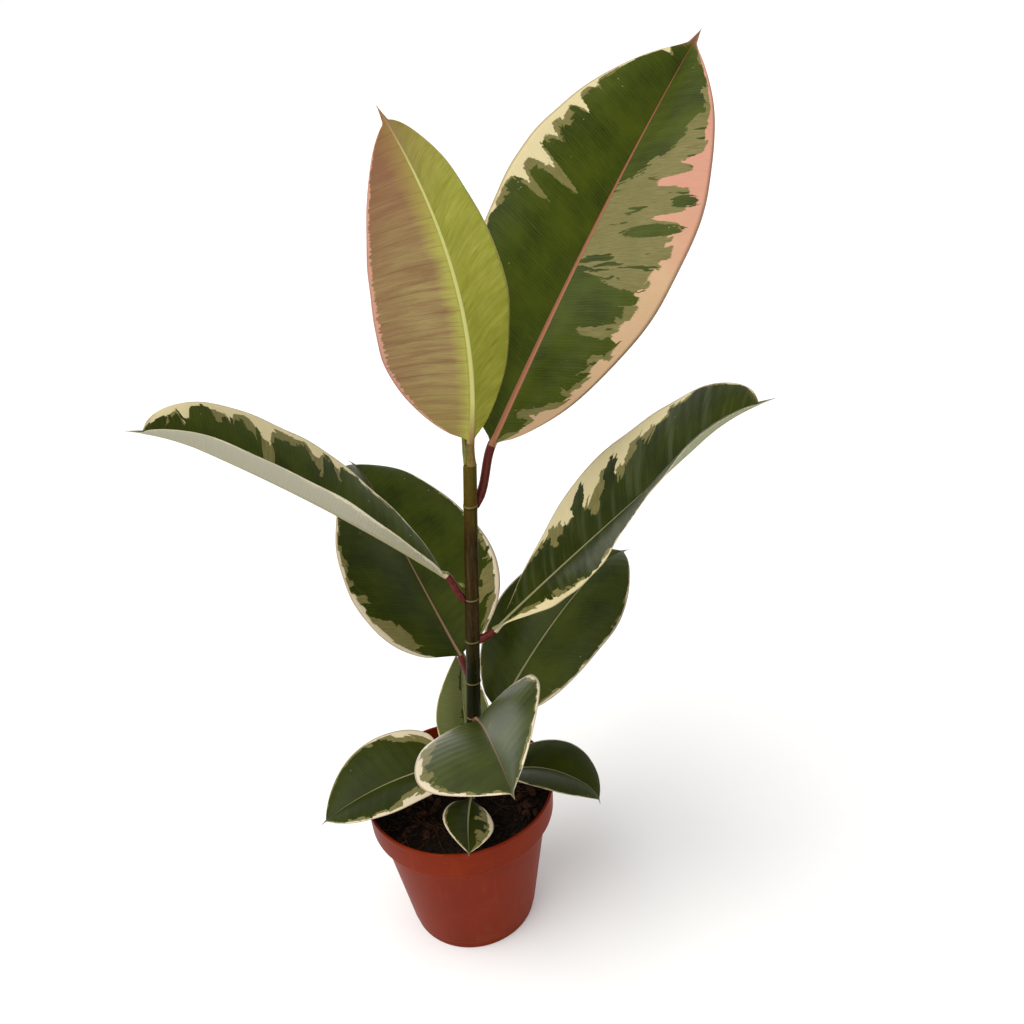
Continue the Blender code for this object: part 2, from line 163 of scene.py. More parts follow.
LOOKS = {
    "leaf_top_left": dict(
        green=((0.8, 0.86, 0.86, 0.84, 0.8), (0.78, 0.84, 0.86, 0.84, 0.8)),
        grey=((0.9, 0.93, 0.93, 0.92, 0.9), (0.88, 0.92, 0.93, 0.92, 0.9)),
        margin=(CREAM, PINK, PINK), rib=RIB_BROWN, petiole=PETIOLE_OLIVE, tone=1.5),
    "leaf_top_right": dict(
        green=((0.97, 0.97, 0.97, 0.97, 0.97, 0.90, 0.80, 0.81, 0.86, 0.94, 0.96, 0.95, 0.93),
               (0.58, 0.76, 0.80, 0.76, 0.72, -0.15, -0.25, 0.0, 0.62, 0.84, 0.86, 0.85, 0.7)),
        grey=((0.98, 0.98, 0.98, 0.98, 0.98, 0.94, 0.87, 0.88, 0.91, 0.96, 0.97, 0.965, 0.94),
              (0.70, 0.84, 0.86, 0.84, 0.81, 0.82, 0.84, 0.76, 0.88, 0.93, 0.93, 0.92, 0.75)),
        tongues=((1, 0.455, 0.60, 0.74, 0.010), (1, 0.515, 0.40, 0.62, 0.012),
                 (1, 0.57, 0.66, 0.8, 0.007), (1, 0.66, 0.60, 0.70, 0.009),
                 (1, 0.715, 0.76, 0.84, 0.006), (1, 0.9, 0.66, 0.72, 0.007),
                 (-1, 0.07, 0.35, 0.62, 0.011), (-1, 0.255, 0.46, 0.8, 0.014),
                 (-1, 0.335, 0.6, 0.76, 0.007), (-1, 0.50, -0.2, 0.62, 0.010),
                 (-1, 0.585, -0.1, 0.44, 0.014), (-1, 0.63, 0.5, 0.7, 0.01)),
        islands=((-1, 0.47, 0.60, 0.016, 0.32), (-1, 0.535, 0.80, 0.013, 0.15)),
        margin=(CREAM, PEACH, PINK), rib=RIB_RED, tone=1.4, sway=0.75,
        rib_width=1.4, tip=(0.25, 0.11, 0.075)),
    "leaf_mid_left": dict(
        green=((0.60, 0.60, 0.70, 0.85, 0.9, 0.9), (0.95, 0.93, 0.9, 0.84, 0.8, 0.78, 0.78, 0.2)),
        grey=((0.65, 0.68, 0.80, 0.92, 0.95, 0.95), (0.98, 0.96, 0.93, 0.9, 0.87, 0.85, 0.84, 0.3)),
        tongues=((-1, 0.36, 0.66, 0.82, 0.012), (-1, 0.43, 0.48, 0.74, 0.02),
                 (-1, 0.60, 0.25, 0.66, 0.024), (-1, 0.70, 0.66, 0.74, 0.01),
                 (-1, 0.83, 0.4, 0.56, 0.016)),
        margin=CREAMY, tone=1.1,
        under=((0.31, 0.295, 0.20), (0.38, 0.355, 0.25))),
    "leaf_mid_right": dict(
        green=((0.95, 0.9, 0.64, 0.54, 0.60, 0.76, 0.97, 0.9, 0.7),
               (0.60, 0.72, 0.90, 0.95, 0.95, 0.95, 0.9)),
        grey=((0.97, 0.96, 0.73, 0.60, 0.65, 0.82, 0.985, 0.95, 0.75),
              (0.62, 0.80, 0.94, 0.97, 0.97, 0.97, 0.95)),
        margin=CREAMY, tone=0.72, painted_sheen=0.35, gloss=0.08),
    "leaf_back_left": dict(
        green=((0.72, 0.82, 0.93, 0.955, 0.96, 0.965, 0.96, 0.9),
               (0.66, 0.70, 0.85, 0.95, 0.97, 0.97, 0.965, 0.93)),
        grey=((0.93, 0.94, 0.965, 0.975, 0.98, 0.98, 0.975, 0.95),
              (0.93, 0.94, 0.96, 0.975, 0.985, 0.985, 0.98, 0.95)),
        rib=RIB_BROWN, tone=0.95),
    "leaf_lower_right": dict(
        green=((0.95, 0.96, 0.97, 0.95), (0.93, 0.96, 0.97, 0.96)),
        grey=((0.97, 0.975, 0.98, 0.97), (0.96, 0.975, 0.98, 0.975))),
    "leaf_back_small": dict(
        green=((0.0, 0.0, 0.0, 0.0), (0.0, 0.0, 0.0, 0.0)),
        grey=((0.95, 0.97, 0.97, 0.95), (0.88, 0.9, 0.95, 0.95)),
        margin=CREAMY, petiole=PETIOLE_OLIVE,
        middle=((0.11, 0.13, 0.035), (0.17, 0.18, 0.06)), patches=False),
    "leaf_front": dict(
        green=((0.88, 0.90, 0.92, 0.92, 0.88, 0.75), (0.66, 0.70, 0.80, 0.88, 0.84, 0.55)),
        grey=((0.94, 0.95, 0.955, 0.955, 0.94, 0.88), (0.92, 0.92, 0.93, 0.945, 0.92, 0.70)),
        rib=RIB_BROWN, tone=1.15, gloss=0.36),
    "leaf_low_left": dict(
        green=((0.60, 0.75, 0.88, 0.92, 0.88, 0.72), (0.50, 0.80, 0.95, 0.96, 0.90, 0.55)),
        grey=((0.84, 0.85, 0.92, 0.95, 0.93, 0.85), (0.74, 0.92, 0.97, 0.975, 0.95, 0.85)),
        petiole=PETIOLE_OLIVE, tone=0.7),
    "leaf_low_right": dict(
        green=((0.96, 0.97, 0.97, 0.93), (0.93, 0.96, 0.97, 0.93)),
        grey=((0.975, 0.98, 0.98, 0.96), (0.95, 0.97, 0.98, 0.96)),
        petiole=PETIOLE_OLIVE, tone=0.7, gloss=0.07),
    "leaf_small_front": dict(
        green=((0.80, 0.56, 0.50, 0.70), (0.92, 0.90, 0.86, 0.7)),
        grey=((0.90, 0.84, 0.84, 0.84), (0.945, 0.935, 0.92, 0.85)),
        petiole=PETIOLE_OLIVE, tone=0.6),
    "leaf_small_under": dict(
        green=((0.93, 0.95, 0.95, 0.9), (0.93, 0.95, 0.95, 0.9)),
        grey=((0.96, 0.97, 0.97, 0.95), (0.96, 0.97, 0.97, 0.95)),
        petiole=PETIOLE_OLIVE),
}


class Graph:
    """A short way to write a material's nodes. A value is a number, a tuple or a node's output."""

    def __init__(self, name):
        self.material = bpy.data.materials.new(name)
        self.material.use_nodes = True
        self.tree = self.material.node_tree
        self.shader = self.tree.nodes["Principled BSDF"]

    def feed(self, socket, value):
        if isinstance(value, bpy.types.NodeSocket):
            self.tree.links.new(value, socket)
        elif isinstance(value, tuple) and len(value) == 3 and len(socket.default_value) == 4:
            socket.default_value = (*value, 1)
        else:
            socket.default_value = value

    def put(self, kind, inputs, output=0, **settings):
        node = self.tree.nodes.new(kind)
        for name, value in settings.items():
            setattr(node, name, value)
        for name, value in inputs.items():
            self.feed(node.inputs[name], value)
        return node.outputs[output]

    def math(self, operation, first, second=0.0):
        return self.put("ShaderNodeMath", {0: first, 1: second}, operation=operation)

    def add(self, *values):
        total = values[0]
        for value in values[1:]:
            total = self.math("ADD", total, value)
        return total

    def times(self, first, second):
        return self.math("MULTIPLY", first, second)

    def swing(self, value, size):
        """A noise value from 0 to 1 made into one that swings this far each way round 0."""
        return self.times(self.math("SUBTRACT", value, 0.5), 2 * size)

    def rise(self, value, low, high):
        """0 below low, 1 above high and straight between. With low over high it falls instead."""
        inputs = {"Value": value, "From Min": low, "From Max": high}
        return self.put("ShaderNodeMapRange", inputs, clamp=True)

    def mix(self, share, first, second, blend="MIX"):
        inputs = {0: share, 6: first, 7: second}
        return self.put("ShaderNodeMix", inputs, 2, data_type="RGBA", blend_type=blend)

    def layers(self, colour, *layers):
        """The colour with others laid over it, each as (colour, how much), or as (colour, how
        much at most, value, low, high) where it comes in as the value goes from low to high."""
        for over, amount, *rising in layers:
            if rising:
                amount = self.times(self.rise(*rising), amount)
            colour = self.mix(amount, colour, over)
        return colour

    def cells(self, value, width):
        """A random number from 0 to 1 that steps to a new one about every width along value."""
        inputs = {"W": value, "Scale": 1 / width, "Randomness": 1.0}
        colour = self.put("ShaderNodeTexVoronoi", inputs, 1, voronoi_dimensions="1D")
        return self.split(colour)[0]

    def noise(self, vector, scale=1.0, detail=2.0, roughness=0.5):
        inputs = {"Vector": vector, "Scale": scale, "Detail": detail, "Roughness": roughness}
        return self.put("ShaderNodeTexNoise", inputs)

    def streaks(self, along, along_scale, across, across_scale, seed, detail=2.0, roughness=0.5):
        """Noise with its own fineness in each of two directions. seed picks another pattern."""
        place = self.join(self.times(along, along_scale), self.times(across, across_scale), seed)
        return self.noise(place, 1, detail, roughness)

    def stretched(self, across, up, scale, detail, roughness):
        """Noise in the CAD's frame with its own fineness across and up."""
        x, y, z = self.split(self.place())
        place = self.join(self.times(x, across), self.times(y, across), self.times(z, up))
        return self.noise(place, scale, detail, roughness)

    def spots(self, vector, scale):
        """The distance to the nearest of many scattered points."""
        return self.put("ShaderNodeTexVoronoi", {"Vector": vector, "Scale": scale})

    def read(self, attribute):
        """The three parts of a vector attribute."""
        return self.split(self.put("ShaderNodeAttribute", {}, 1, attribute_name=attribute))

    def split(self, vector):
        node = self.tree.nodes.new("ShaderNodeSeparateXYZ")
        self.tree.links.new(vector, node.inputs[0])
        return node.outputs[0], node.outputs[1], node.outputs[2]

    def join(self, x, y, z):
        return self.put("ShaderNodeCombineXYZ", {0: x, 1: y, 2: z})

    def place(self):
        """The point on the piece, in metres in the CAD's frame."""
        return self.put("ShaderNodeTexCoord", {}, 3)

    def lines(self, value, spacing):
        """0 on evenly spaced lines and 1 halfway between them."""
        return self.times(self.math("PINGPONG", value, spacing / 2), 2 / spacing)

    def finish(self, colour, roughness, specular, height=None, depth=0.1, strength=1.0):
        """Feeds the shader. depth is how deep the bumps are, in mm."""
        self.feed(self.shader.inputs["Base Color"], colour)
        self.feed(self.shader.inputs["Roughness"], roughness)
        self.shader.inputs["Specular IOR Level"].default_value = specular
        if height is not None:
            inputs = {"Height": height, "Distance": depth * MM, "Strength": strength}
            self.feed(self.shader.inputs["Normal"], self.put("ShaderNodeBump", inputs))
        return self.material


# ---------------------------------------------------------------- meshes


def new_object(name, data):
    made = bpy.data.objects.new(name, data)
    bpy.context.scene.collection.objects.link(made)
    return made


def add_piece(name, mesh, slot, *nodes):
    piece = new_object(name, mesh)
    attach(piece, "root")
    if nodes:
        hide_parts(*nodes)
    return piece


def around(count):
    """(angle, cosine, sine) at even steps round a full turn."""
    for step in range(count):
        angle = 2 * math.pi * step / count
        yield angle, math.cos(angle), math.sin(angle)


def ring_faces(rows, columns):
    """Quads between rings of points that each close on themselves."""
    row, column = np.meshgrid(np.arange(rows - 1), np.arange(columns), indexing="ij")
    after = (column + 1) % columns
    near, far = row * columns, (row + 1) * columns
    return np.stack([near + column, near + after, far + after, far + column], -1).reshape(-1, 4)


def tube_faces(rows, columns):
    """The quads of a tube and the caps at its two ends."""
    caps = [list(range(columns))[::-1], [(rows - 1) * columns + corner for corner in range(columns)]]
    return ring_faces(rows, columns).tolist() + caps


def tube_mesh(name, points, materials):
    """A closed mesh through rings of points, as an array of rings by corners by 3."""
    faces = tube_faces(*points.shape[:2])
    mesh = bpy.data.meshes.new(name)
    mesh.from_pydata(points.reshape(-1, 3), [], faces)
    for material in materials:
        mesh.materials.append(material)
    face_out(mesh)
    mesh.shade_smooth()
    return mesh


def face_out(mesh):
    """Turns a closed mesh's faces outward, which they all are or all aren't."""
    shape = bmesh.new()
    shape.from_mesh(mesh)
    if shape.calc_volume(signed=True) < 0:
        bmesh.ops.reverse_faces(shape, faces=shape.faces)
    shape.to_mesh(mesh)
    shape.free()


def set_vectors(mesh, name, *parts):
    """Stores three arrays, which spread to one shape, as a vector at each point."""
    values = np.stack(np.broadcast_arrays(*parts), -1)
    layer = mesh.attributes.new(name, "FLOAT_VECTOR", "POINT")
    layer.data.foreach_set("vector", np.ascontiguousarray(values, np.float32).ravel())


# ---------------------------------------------------------------- the stem's line and the leaves' shape


def stem_axis(height):
    return Vector((STEM_FOOT_X + STEM_LEAN * (height - STEM_FOOT_Z), 0, height))


def stem_radius(height):
    share = (height - MIX_CROWN_HEIGHT) / (STEM_TOP - MIX_CROWN_HEIGHT)
    return STEM_FOOT_RADIUS + (STEM_TOP_RADIUS - STEM_FOOT_RADIUS) * max(0, min(1, share))


def blade_frames(base, leaf):
    """(point, along, left, up) at each step of a blade's midrib."""
    heading, pitch = math.radians(leaf["heading"]), math.radians(leaf["pitch"])
    level = math.cos(pitch)
    along = Vector((level * math.cos(heading), level * math.sin(heading), math.sin(pitch)))
    left = Vector((-math.sin(heading), math.cos(heading), 0))
    left.rotate(Matrix.Rotation(math.radians(leaf["roll"]), 3, along))
    point = base.copy()
    frames = [(point.copy(), along.copy(), left.copy(), along.cross(left))]
    for step in range(FRAME_STEPS):
        droop = leaf["droop"] / FRAME_STEPS
        if step >= HOOK_FROM * FRAME_STEPS:
            droop += leaf["hook"] / ((1 - HOOK_FROM) * FRAME_STEPS)
        along.rotate(Matrix.Rotation(math.radians(droop), 3, left))
        up = along.cross(left)
        sweep = Matrix.Rotation(math.radians(leaf["sweep"] / FRAME_STEPS), 3, up)
        along.rotate(sweep)
        left.rotate(sweep)
        left.rotate(Matrix.Rotation(math.radians(leaf["twist"] / FRAME_STEPS), 3, along))
        point += along * leaf["length"] * MM / FRAME_STEPS
        frames.append((point.copy(), along.copy(), left.copy(), along.cross(left)))
    return frames


def half_width(share, leaf):
    """Half the blade's width at this share of its length: a long oval that ends in a drip tip."""
    reach = min(1, share / BODY_TO) ** (math.log(0.5) / math.log(leaf["belly"]))
    shape = leaf["base_shape"] if reach < 0.5 else leaf["tip_shape"]
    body = max(0, 4 * reach * (1 - reach)) ** shape * leaf["width"] / 2 * MM
    if share < DRIP_TIP_FROM:
        return body
    left = (1 - share) / DRIP_TIP_REACH
    length = leaf["length"] * MM
    drip = DRIP_TIP_WIDTH * length * min(1, left) ** 1.15
    softness = DRIP_TIP_MERGE * length * min(1, 2 * left)
    return (body + drip + math.hypot(body - drip, softness)) / 2


def petiole_frames(start, outward, leaving, end, end_along, end_left):
    """(point, along, left, up) from the stem to the blade, on one smooth curve."""
    reach = (end - start).length
    level = Vector((-leaving.y, leaving.x, 0)) if outward.z < 0.9 else end_left
    frames = []
    for row in range(PETIOLE_ROWS):
        t = row / PETIOLE_ROWS
        pull_out, pull_in = leaving * reach, end_along * reach
        point = (
            start * (2 * t**3 - 3 * t**2 + 1) + pull_out * (t**3 - 2 * t**2 + t)
            + end * (3 * t**2 - 2 * t**3) + pull_in * (t**3 - t**2))
        along = (
            start * (6 * t**2 - 6 * t) + pull_out * (3 * t**2 - 4 * t + 1)
            + end * (6 * t - 6 * t**2) + pull_in * (3 * t**2 - 2 * t)).normalized()
        along = along.lerp(outward, max(0, 1 - 5 * t)).normalized()
        left = level.lerp(end_left, t)
        left = (left - along * left.dot(along)).normalized()
        frames.append((point, along, left, along.cross(left)))
    return frames


def wander(rng, positions, period, size):
    """A smooth random wave of this size along positions, which are in mm, as its period is."""
    total = np.zeros_like(positions)
    for octave in (1, 2.1):
        phase = rng.uniform(0, 2 * math.pi)
        total += np.sin(positions * 2 * math.pi * octave / period + phase) / octave
    return total * size / 1.5


HALF_COLUMNS = 34  # points from the midrib to the edge of a blade
PETIOLE_ROWS = 22
ROW_SPACING = 1.25
PETIOLE_RUN = 7  # how far the petiole's round shape runs on into the blade
VEIN_SLOPE = 0.36  # how far a side vein runs forward for each unit out from the midrib
VEIN_SPACING = 6.5
VEIN_RELIEF = 0.085
FLUTTER = 0.8
BLADE_THICKNESS = 0.6


def leaf_spine(leaf, share):
    """(points, lefts, ups) along the petiole, and then at these shares of the blade."""
    heading, climb = math.radians(leaf["heading"]), math.radians(leaf["petiole_pitch"])
    height = leaf["height"] * MM
    outward = Vector((math.cos(heading), math.sin(heading), 0))
    vertical = Vector((0, 0, 1))
    reach = outward * math.cos(climb) + vertical * math.sin(climb)
    if height < STEM_TOP:
        start = stem_axis(height) + outward * (stem_radius(height) + SCAR_SWELL * 0.2)
        base = start + outward * (SCAR_SWELL * 0.8 + 1.2 * GAP) + reach * leaf["petiole"] * MM
        facing = outward
    else:
        start = stem_axis(STEM_TOP) + outward * 1.6 * MM
        base = start + vertical * 2 * GAP + reach * leaf["petiole"] * MM
        facing = vertical
    leaving = facing.lerp(reach, 0.6).normalized()
    blade = blade_frames(base, leaf)
    petiole = petiole_frames(start, facing, leaving, base, blade[0][1], blade[0][2])
    steps = np.arange(FRAME_STEPS + 1) / FRAME_STEPS
    spine = []
    for part in (0, 2, 3):
        coarse = np.array([tuple(entry[part]) for entry in blade])
        fine = np.stack([np.interp(share, steps, coarse[:, axis]) for axis in range(3)], 1)
        spine.append(np.concatenate([np.array([tuple(entry[part]) for entry in petiole]), fine]))
    return spine


def leaf_points(leaf, rng):
    """The leaf's rings of points, and what its materials need to know at each."""
    rows = max(60, int(leaf["length"] / ROW_SPACING))
    even = np.linspace(0, 1, rows)
    share = even - 0.05 * np.sin(2 * math.pi * even)  # closer rows at both ends
    point, left, up = leaf_spine(leaf, share)
    share = np.concatenate([np.full(PETIOLE_ROWS, 0.0), share])
    blade_run = share[PETIOLE_ROWS:] * leaf["length"]
    rounding_off = np.clip(1 - blade_run / PETIOLE_RUN, 0, 1) ** 2
    is_petiole = np.concatenate([np.ones(PETIOLE_ROWS), rounding_off])
    petiole_row = np.arange(PETIOLE_ROWS)
    run = np.concatenate([-leaf["petiole"] * (1 - petiole_row / PETIOLE_ROWS), blade_run])
    foot = np.concatenate([np.exp(-petiole_row / 3.0), np.zeros(rows)])
    petiole_radius = 1.2 + 0.004 * leaf["length"]
    rib = petiole_radius * np.clip(1 - share, 0, 1) ** 0.8 * (1 - 0.12 * share) + 0.25
    rib = rib * (1 + 0.28 * foot)
    outline = np.array([half_width(value, leaf) / MM for value in share])
    outline = np.maximum(outline * (1 + wander(rng, run, 60, 0.006)), 0.2)
    width = np.where(is_petiole >= 1, rib, np.maximum(outline, rib * is_petiole))
    fold_base, fold_tip = leaf["fold"]
    fold = np.radians(fold_base + (fold_tip - fold_base) * share) * (1 - is_petiole)

    across = np.linspace(1, -1, 2 * HALF_COLUMNS + 1)
    top = np.ones(2 * HALF_COLUMNS + 1)
    across = np.concatenate([across, -across[1:-1]])
    top = np.concatenate([top, -np.ones(2 * HALF_COLUMNS - 1)])

    x, w, r, c = across[None, :], width[:, None], rib[:, None], is_petiole[:, None]
    f, s, side = fold[:, None], run[:, None], np.sign(across)[None, :]
    spread = side * np.abs(x) ** 1.55
    y = c * r * np.sin(math.pi / 2 * x) + (1 - c) * w * spread
    distance = np.abs(y)
    out = distance / np.maximum(w, 0.01)
    thin = BLADE_THICKNESS / 2 * np.sqrt(np.clip(1 - np.abs(x) ** 10, 0, 1)) * np.clip(w / 3, 0.3, 1)
    round_half = r * np.cos(math.pi / 2 * x)
    keel = 0.95 * r * np.exp(-((distance / (0.75 * r)) ** 2)) * (1 - 0.2 * share[:, None])
    groove = 0.28 * np.exp(-((distance / (0.5 * r)) ** 2)) * np.clip(w / 8, 0, 1)
    fade = (1 - np.exp(-distance / 5)) * np.clip((1 - out) * 6, 0, 1)
    along_veins = s - VEIN_SLOPE * distance + 0.004 * distance**2
    relief = VEIN_RELIEF * fade * np.cos(2 * math.pi * along_veins / VEIN_SPACING + side)
    size = FLUTTER * leaf["width"] / 100
    left_wave, right_wave = wander(rng, run, 74, size), wander(rng, run, 61, size)
    flutter = np.where(side > 0, left_wave[:, None], right_wave[:, None])
    relief = relief + flutter * out**3 * np.clip(w / 12, 0, 1)
    relief = relief + 0.055 * w * np.sin(math.pi * np.clip(out, 0, 1)) * (1 - c)
    upper = c * round_half + (1 - c) * (thin - groove + relief)
    lower = -c * round_half + (1 - c) * (relief - thin - keel)
    z = np.where(top[None, :] > 0, upper, lower)
    bend = 1.2 * r  # the two halves meet in a rounded fold about this wide
    lift = np.sqrt(distance**2 + bend**2) - bend
    sideways = y * np.cos(f) - side * z * np.sin(f) * np.clip(distance / bend, 0, 1)
    upward = lift * np.sin(f) + z * np.cos(f)
    across_blade = sideways[..., None] * left[:, None, :]
    points = point[:, None, :] + MM * (across_blade + upward[..., None] * up[:, None, :])
    return points, dict(run=s, y=y, out=out, share=share[:, None], rib=distance / r)


def spread_table(values, share):
    return np.interp(share, np.linspace(0, 1, len(values)), values)


def colour_zones(leaf, look, facts):
    """How far out the green and the grey-green reach at each point, and the islands' rise."""
    out, left_side = facts["out"], facts["y"] > 0
    along_veins = np.clip((facts["run"] - VEIN_SLOPE * np.abs(facts["y"])) / leaf["length"], 0, 1)
    zones = []
    for layer, table in enumerate((look["green"], look["grey"])):
        zone = np.where(left_side, *[spread_table(side, along_veins) for side in table])
        for side, centre, *reach, width in look["tongues"]:
            dip = np.exp(-(((along_veins - centre) / width) ** 4)) * (left_side == (side > 0))
            zone = zone + (np.minimum(zone, reach[layer]) - zone) * dip
        zones.append(zone)
    island = np.full(out.shape, -1.0)
    for side, centre, centre_out, length, width in look["islands"]:
        away = ((along_veins - centre) / length) ** 2 + ((out - centre_out) / width) ** 2
        island = np.maximum(island, np.where(left_side == (side > 0), 1 - away, -1.0))
    return *zones, island


def build_leaf(name, leaf, look, number):
    points, facts = leaf_points(leaf, random.Random(SEED * 100 + number))
    rows, columns = points.shape[:2]
    mesh = tube_mesh(name + "_fine", points, leaf_materials(name, look, number))
    green_to, grey_to, island = colour_zones(leaf, look, facts)
    set_vectors(mesh, "leaf_mm", facts["run"], facts["y"], facts["out"])
    set_vectors(mesh, "leaf_share", facts["share"], facts["rib"], 0)
    set_vectors(mesh, "leaf_zone", green_to, grey_to, island)

    quads = (rows - 1) * columns
    row, column = np.divmod(np.arange(quads), columns)
    material = np.zeros(len(mesh.polygons), np.int32)
    underneath = column >= 2 * HALF_COLUMNS
    material[:quads] = np.where(row < PETIOLE_ROWS - 1, 2, np.where(underneath, 1, 0))
    material[quads] = 2
    mesh.polygons.foreach_set("material_index", material)
    slot = "young_leaf" if name == YOUNGEST else "leaf"
    check_against_cad(add_piece(name + "_fine", mesh, slot, name), name)


def check_against_cad(piece, node, near=4 * MM):
    """Stops if a fine piece doesn't fill the same box as the plain solid that it stands for."""
    corners = np.array([tuple(vertex.co) for vertex in piece.data.vertices])
    worst = np.abs(np.array([corners.min(0), corners.max(0)]) - np.array(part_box(node))).max()
    print(f"{piece.name}: within {worst / MM:.1f} mm of {node}")
    if worst > near:
        raise ValueError(f"{piece.name} is {worst / MM:.1f} mm off its CAD solid")


# ---------------------------------------------------------------- leaf materials


def leaf_materials(name, look, number):
    if name == YOUNGEST:
        underside = young_underside(name)
    else:
        underside = leaf_underside(name, look, number)
    return [leaf_upper(name, look, number), underside, petiole_skin(name, look)]


def variegation(graph, number, look):
    """(green, grey, flow): the two zones' masks, whose edges step in and out along the veins."""
    run, y, out = graph.read("leaf_mm")
    green_to, grey_to, island = graph.read("leaf_zone")
    distance = graph.math("ABSOLUTE", y)
    side = graph.times(graph.math("SIGN", y), 270.0)
    flow = graph.add(run, graph.times(distance, -VEIN_SLOPE))
    masks = []
    for layer, reach_to, sway in ((0, green_to, 0.62 * look["sway"]), (1, grey_to, 0.5 * look["sway"])):
        seed = graph.add(side, 73.0 * number + 317.0 * layer)
        bend = graph.streaks(flow, 0.1, distance, 0.13, seed, 2)
        ragged = graph.streaks(flow, 0.9, distance, 0.5, seed, 3, 0.6)
        band = graph.add(flow, seed, graph.swing(bend, 5.0), graph.swing(ragged, 0.9))
        broad = graph.noise(graph.join(graph.times(flow, 0.07), 0.0, seed), 1, 1)
        tooth = graph.streaks(flow, 2.2, distance, 0.45, seed, 3, 0.65)
        room = graph.add(graph.times(graph.math("SUBTRACT", 1.0, reach_to), 2.2), 0.05)
        wobble = graph.add(
            graph.swing(broad, sway * 0.5), graph.swing(graph.cells(band, 9.0), sway * 0.36),
            graph.swing(graph.cells(band, 3.4), sway * 0.2), graph.swing(tooth, 0.06))
        wobble = graph.times(wobble, graph.math("MINIMUM", room, 1.0))
        inside = graph.add(reach_to, graph.times(out, -1.0), wobble)
        if layer == 0:
            island = graph.add(island, graph.swing(graph.cells(band, 3.4), 0.3), graph.swing(tooth, 0.4))
            inside = graph.math("MAXIMUM", inside, graph.times(island, 0.1))
        masks.append(graph.rise(inside, -0.006, 0.006))
    margin = graph.rise(out, 0.988, 0.972)
    return graph.times(masks[0], margin), graph.times(masks[1], margin), flow


def leaf_upper(name, look, number):
    """Glossy upper face: dark green, grey-green and pale zones, with fine side veins and a midrib."""
    graph = Graph(name + "_upper")
    run, y, out = graph.read("leaf_mm")
    share, rib, _ = graph.read("leaf_share")
    green, grey, flow = variegation(graph, number, look)
    spot = graph.join(flow, y, float(number))
    cloud = graph.noise(spot, 0.045, 3)
    grain = graph.streaks(flow, 1.6, y, 0.12, float(number), 3, 0.65)
    fine = graph.lines(graph.add(flow, graph.swing(graph.noise(spot, 0.12, 1), 1.4)), 1.7)
    main = graph.lines(flow, VEIN_SPACING)

    # tone scales these greens per leaf: the leaf's own green, and painted light and shade as well,
    # lighter or darker as each leaf looks lit.
    deep, leaf_green, streak, thread, vein = (
        tuple(look["tone"] * part for part in green_tint) for green_tint in (
            DEEP_GREEN, LEAF_GREEN, (0.052, 0.066, 0.006), (0.062, 0.076, 0.009), (0.075, 0.09, 0.012)))
    dark = graph.layers(
        graph.mix(graph.rise(cloud, 0.32, 0.68), deep, leaf_green),
        (streak, 0.4, grain, 0.42, 0.8), (thread, 0.30, fine, 0.35, 0.0), (vein, 0.22, main, 0.08, 0.0))
    # Painted sheen: pale streaks along the side veins, standing for light caught on soft folds.
    if look["painted_sheen"]:
        sheen_streak = graph.streaks(flow, 0.16, y, 0.018, 2.0, 2)
        dark = graph.layers(dark, ((0.085, 0.10, 0.045), look["painted_sheen"], sheen_streak, 0.5, 0.68))
    low_grey, high_grey = look["middle"]
    middle = graph.layers(
        graph.mix(graph.rise(grain, 0.3, 0.75), low_grey, high_grey),
        (low_grey, 0.45, cloud, 0.45, 0.7), (high_grey, 0.2, fine, 0.3, 0.0))
    left_margin, right_base, right_tip = look["margin"]
    up_leaf = graph.add(share, graph.swing(cloud, 0.12))
    right = graph.mix(graph.rise(up_leaf, 0.38, 0.62), right_base, right_tip)
    pale = graph.layers(
        graph.mix(graph.rise(y, -0.5, 0.5), right, left_margin),
        ((0.50, 0.41, 0.21), 0.35, grain, 0.45, 0.8))
    colour = graph.mix(green, graph.mix(grey, pale, middle), dark)
    if look["patches"]:
        patch = graph.streaks(flow, 0.16, y, 0.035, 5.0 + number, 3, 0.55)
        in_grey = graph.times(grey, graph.math("SUBTRACT", 1.0, green))
        colour = graph.layers(colour, (dark, in_grey, patch, 0.60, 0.612))

    flecks = graph.streaks(flow, 0.30, y, 0.06, 9.0 + number, 2, 0.5)
    near_edge = graph.times(graph.rise(out, 0.45, 0.6), green)
    specks = graph.spots(graph.join(run, y, 0.0), 0.16)
    # beside marks painted shade: a dark band each side of the midrib, down in its groove.
    beside = graph.times(graph.rise(rib, 0.95, 0.55), graph.rise(rib, 0.3, 0.45))
    from_rib = graph.add(rib, graph.times(share, 0.12))
    on_rib = graph.rise(from_rib, 0.52 * look["rib_width"], 0.40 * look["rib_width"])
    ends = tuple(0.7 * part for part in look["rib"])
    rib_colour = graph.layers(
        look["rib"], (ends, graph.rise(share, 0.0, 0.9)), (ends, 0.35, grain, 0.4, 0.7))
    to_tip = graph.add(share, graph.swing(grain, 0.02), graph.times(out, 0.03))
    colour = graph.layers(
        colour, (high_grey, green, flecks, 0.765, 0.772),
        ((0.40, 0.40, 0.26), near_edge, specks, 0.052, 0.035),
        (graph.mix(0.4, pale, (0.45, 0.30, 0.18)), graph.rise(out, 0.972, 0.992)),
        ((0.012, 0.018, 0.003), graph.times(beside, 0.5)), (rib_colour, on_rib),
        (look["tip"], 0.8, to_tip, 0.955, 0.985))

    height = graph.add(graph.times(graph.rise(fine, 0.0, 0.5), 0.6), graph.times(grain, 0.5))
    roughness = graph.add(0.30, graph.times(grain, 0.14))
    return graph.finish(colour, roughness, look["gloss"], height, 0.07, 0.7)


